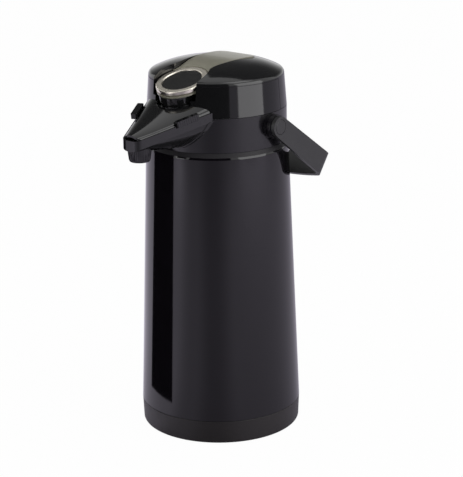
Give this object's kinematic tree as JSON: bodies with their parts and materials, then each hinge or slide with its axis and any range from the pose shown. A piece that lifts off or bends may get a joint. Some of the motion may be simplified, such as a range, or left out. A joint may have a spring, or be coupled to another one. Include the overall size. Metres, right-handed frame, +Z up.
{
  "type": "lever airpot",
  "caption": "Tall tapered vacuum airpot with a hinged pump lid, press lever with a round badge, beak-shaped pouring spout and a swinging carrying handle.",
  "frame": {"origin": "Centre of the round underside, where the pot rests, on its upright axis.", "axes": "+Z up along the pot's axis; -Y is the front, where the spout points; +X is the side of one handle pivot, seen on the right from the front."},
  "size_m": [0.1602, 0.2141, 0.3695],
  "materials": {
    "black_enamelled_steel": "glossy black enamel",
    "black_rubber": "matt",
    "black_grained_plastic": "finely grained",
    "black_satin_plastic": "satin",
    "black_gloss_plastic": "polished",
    "handle_plastic": "satin, fine grain",
    "lever_grey_plastic": "dark bronze-grey, satin gloss",
    "badge_metal": "polished with a warm tint",
    "badge_black": "smooth",
    "pin_steel": "plain",
    "grey_rubber": "matt",
    "grey_foam": "foamed",
    "clear_silicone": "translucent white",
    "white_plastic": "plain",
    "clear_pipe": "translucent",
    "flask_glass": "silvered glass"
  },
  "bodies": {
    "pot": {"foot_pad": "black_rubber", "base_cap": "black_grained_plastic", "outer_casing": "black_enamelled_steel", "flask_cushion": "grey_rubber", "flask_outer": "flask_glass", "flask_inner": "flask_glass", "flask_centring_ring": "grey_foam", "shoulder_collar": "black_satin_plastic", "neck_gasket": "clear_silicone", "tube_head": "white_plastic", "dip_tube": "clear_pipe", "handle_bosses": "black_satin_plastic", "handle_pins": "pin_steel", "handle_caps": "handle_plastic", "hinge_bracket": "black_satin_plastic", "hinge_pin": "pin_steel", "latch_keepers": "black_satin_plastic"},
    "pump_head": {"lid_shell": "black_gloss_plastic", "lid_hinge_lug": "black_gloss_plastic", "lever_well": "black_gloss_plastic", "lever_hinge_pin": "pin_steel", "pump_base": "white_plastic", "lid_screws": "pin_steel", "inner_plug": "white_plastic", "plug_gasket": "clear_silicone", "intake_valve": "clear_silicone", "bellows": "grey_rubber", "bellows_spring": "pin_steel", "lever_spring": "pin_steel", "outlet_pipe": "clear_pipe", "spout_housing": "black_gloss_plastic", "spout_cover": "black_gloss_plastic", "column_guide": "black_gloss_plastic", "spout_nozzle": "black_satin_plastic"},
    "lever": {"lever_plate": "lever_grey_plastic", "badge_ring": "badge_metal", "badge_disc": "badge_black", "column_skirt": "black_gloss_plastic"},
    "plunger": {"pressure_plate": "white_plastic"},
    "latch_left": {"latch_left": "black_gloss_plastic"},
    "latch_right": {"latch_right": "black_gloss_plastic"},
    "carry_handle": {"carry_handle": "handle_plastic"}
  },
  "joints": [
    {"name": "head_hinge", "type": "hinge", "parent": "pot", "child": "pump_head", "pos_m": [0, 0.073, 0.325], "axis": [-1, 0, 0], "range_deg": [0, 95]},
    {"name": "lever_press", "type": "hinge", "parent": "pump_head", "child": "lever", "pos_m": [0, 0.0275, 0.357], "axis": [1, 0, 0], "range_deg": [0, 3.8], "stiffness_Nm_per_rad": 1, "springref_deg": -9.74},
    {"name": "plunger_slide", "type": "slide", "parent": "pump_head", "child": "plunger", "axis": [0, 0, -1], "range_m": [0, 0.0019], "deforming": ["bellows", "bellows_spring", "lever_spring"]},
    {"name": "latch_left_squeeze", "type": "slide", "parent": "pump_head", "child": "latch_left", "axis": [0.9097, 0.4153, 0], "range_m": [0, 0.0018], "stiffness_N_per_m": 400},
    {"name": "latch_right_squeeze", "type": "slide", "parent": "pump_head", "child": "latch_right", "axis": [-0.9097, 0.4153, 0], "range_m": [0, 0.0018], "stiffness_N_per_m": 400},
    {"name": "handle_swing", "type": "hinge", "parent": "pot", "child": "carry_handle", "pos_m": [0, 0, 0.312], "axis": [1, 0, 0], "range_deg": [0, 185]}
  ],
  "couplings": [
    {"joint": "plunger_slide", "follows": "lever_press", "m_per_rad": 0.0275}
  ]
}
